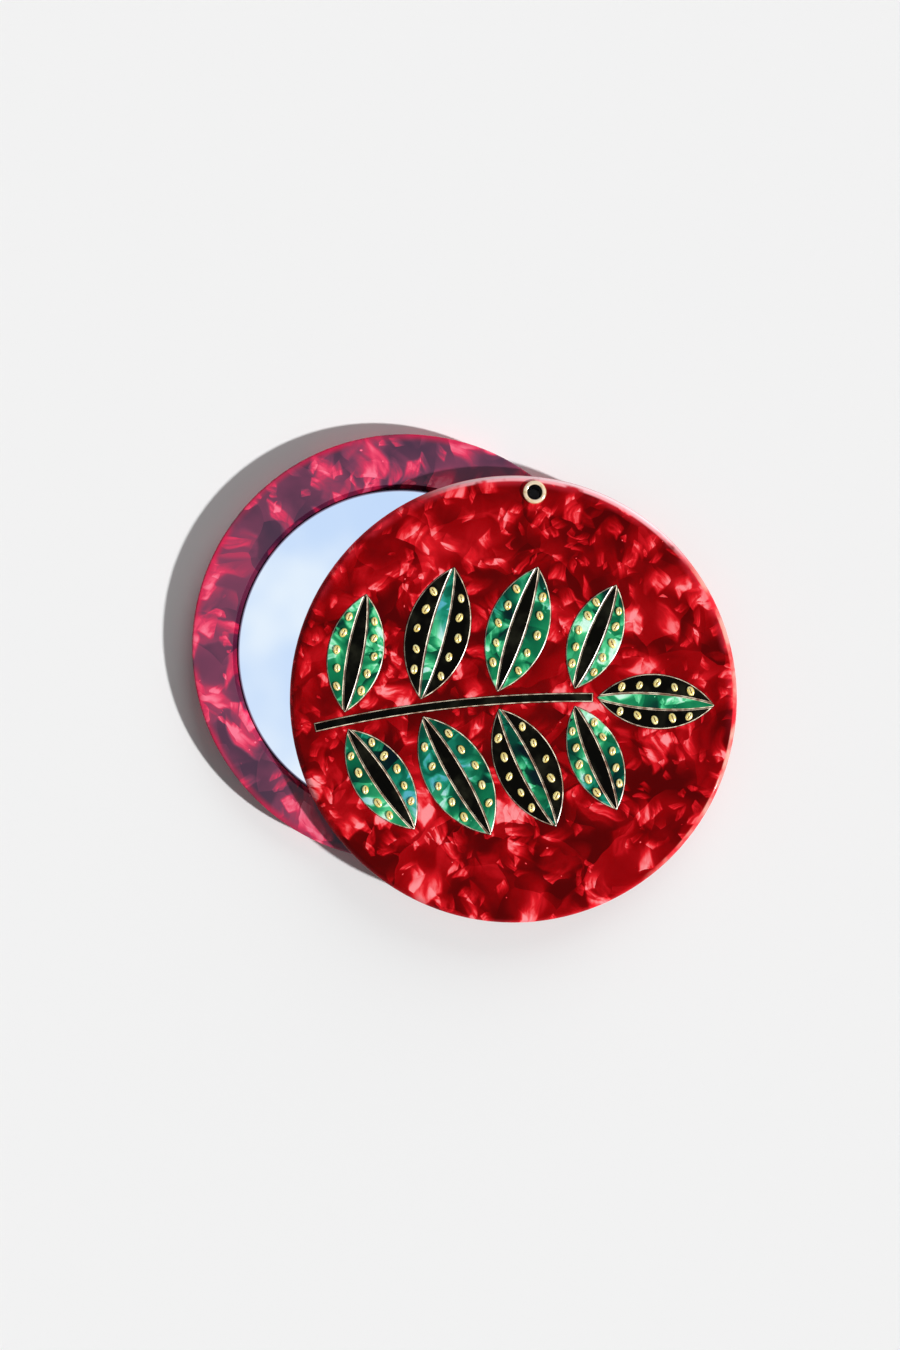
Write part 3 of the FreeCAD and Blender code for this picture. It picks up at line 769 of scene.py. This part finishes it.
def dot_places():
    """The foot of each dot, read from the separate solids of the CAD node."""
    merged_copy("gold_dots", "dot_places")
    bpy.ops.mesh.separate(type="LOOSE")
    bpy.ops.object.mode_set(mode="OBJECT")
    places = []
    for dot in list(bpy.context.selected_objects):
        corners = [Vector(vertex.co) for vertex in dot.data.vertices]
        low = Vector(min(c[i] for c in corners) for i in range(3))
        high = Vector(max(c[i] for c in corners) for i in range(3))
        places.append(Vector(((low.x + high.x) / 2, (low.y + high.y) / 2, low.z)))
        bpy.data.objects.remove(dot)
    return sorted(places, key=lambda place: (round(place.x, PLACE_DIGITS), round(place.y, PLACE_DIGITS)))


def gold_beads():
    """A bead in the place of each dot, each with its own size and lean, joined into one piece."""
    chance = random.Random(BEAD_SEED)
    low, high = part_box("gold_dots")
    model = one_bead(high.z - low.z)
    copies = []
    for number, place in enumerate(dot_places()):
        bead = new_piece(f"bead_{number}", model.data.copy())
        size = chance.uniform(*BEAD_SIZE_SHARES)
        lean = CAMERA_ROLL + math.pi / 2 + chance.uniform(-BEAD_LEAN, BEAD_LEAN)
        flat_size = Matrix.Diagonal((size, size, 1, 1))
        bead.data.transform(Matrix.Translation(place) @ Matrix.Rotation(lean, 4, "Z") @ flat_size)
        copies.append(bead)
    bpy.data.objects.remove(model)
    pick(copies[0])
    for bead in copies:
        bead.select_set(True)
    bpy.ops.object.join()
    beads = bpy.context.object
    beads.name = "gold_beads"
    finish_piece(beads, "cover", "gold_dots")


def dress_inlay():
    for node in frame["nodes"]:
        if node == "stem" or node.startswith("leaf_"):
            inlaid_piece(node)
    gold_beads()


def add_floor():
    bpy.ops.object.select_all(action="DESELECT")
    bpy.ops.mesh.primitive_plane_add(size=FLOOR_SIZE, location=(0, 0, -FLOOR_DROP))
    floor = bpy.context.object
    floor.name = "floor"
    material, sockets = new_material("floor")
    sockets["Base Color"].default_value = BACKDROP_COLOUR
    sockets["Roughness"].default_value = 1.0
    sockets["Specular IOR Level"].default_value = 0.0
    floor.data.materials.append(material)


def add_sun(bearing, elevation, strength, angle):
    bpy.ops.object.light_add(type="SUN")
    lamp = bpy.context.object
    lamp.data.energy = strength
    lamp.data.angle = angle
    lamp.rotation_euler = towards_lamp(bearing, elevation).to_track_quat("Z", "Y").to_euler()
    return lamp


def add_lamps():
    """The key sun, and the soft rim lamp, which glass and metal don't show."""
    add_sun(KEY_BEARING, KEY_ELEVATION, KEY_STRENGTH, KEY_ANGLE)
    rim_lamp = add_sun(RIM_BEARING, RIM_ELEVATION, RIM_STRENGTH, RIM_ANGLE)
    rim_lamp.visible_glossy = False


def add_world():
    """A plain fill for the surfaces, a pale sky for what glass and metal show, and a plain backdrop."""
    world = bpy.data.worlds.new("studio")
    bpy.context.scene.world = world
    world.use_nodes = True
    world.node_tree.nodes.clear()
    graph = Graph(world.node_tree)
    way = graph.add("ShaderNodeTexCoord").outputs["Generated"]
    cloud = graph.noise(way, SKY_CLOUD_FINENESS, detail=4.0)["Fac"]
    cloud = graph.math("SUBTRACT", cloud, NOISE_MIDDLE)
    leaned = graph.math("ADD", graph.split(way)[1], graph.product(cloud, SKY_CLOUD_BEND))
    drifts = graph.mottle(way, fineness=9.0, detail=3.0, start=0.4, full=0.6)
    clear = graph.math("SUBTRACT", 1.0, drifts)
    blue = graph.product(graph.between(leaned, *SKY_BLUE_REACHES), clear)
    sky_colour = graph.mix(blue, srgb(236, 246, 255), srgb(198, 221, 252))
    sky = graph.add("ShaderNodeBackground", {"Color": sky_colour, "Strength": 1.0})
    fill = graph.add("ShaderNodeBackground", {"Color": FILL_COLOUR, "Strength": FILL_STRENGTH})
    backdrop = graph.add("ShaderNodeBackground", {"Color": BACKDROP_COLOUR, "Strength": 1.0})
    path = graph.add("ShaderNodeLightPath").outputs
    mirrored = graph.math("MAXIMUM", path["Is Glossy Ray"], path["Is Transmission Ray"])
    shown = graph.add("ShaderNodeMixShader", {0: mirrored, 1: fill.outputs[0], 2: sky.outputs[0]})
    inputs = {0: path["Is Camera Ray"], 1: shown.outputs[0], 2: backdrop.outputs[0]}
    shown = graph.add("ShaderNodeMixShader", inputs)
    graph.add("ShaderNodeOutputWorld", {"Surface": shown.outputs[0]})


def add_camera():
    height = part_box("cover_front_sheet")[1].z + CAMERA_DISTANCE
    bpy.ops.object.camera_add(location=(*CAMERA_CENTRE, height), rotation=(0, 0, CAMERA_ROLL))
    camera = bpy.context.object
    camera.data.sensor_width = SENSOR_WIDTH
    camera.data.lens = SENSOR_WIDTH * CAMERA_DISTANCE / PICTURE_HEIGHT
    bpy.context.scene.camera = camera
    bpy.context.scene.view_settings.view_transform = "Standard"


dress_cad_nodes()
dress_inlay()
add_floor()
add_lamps()
add_world()
add_camera()
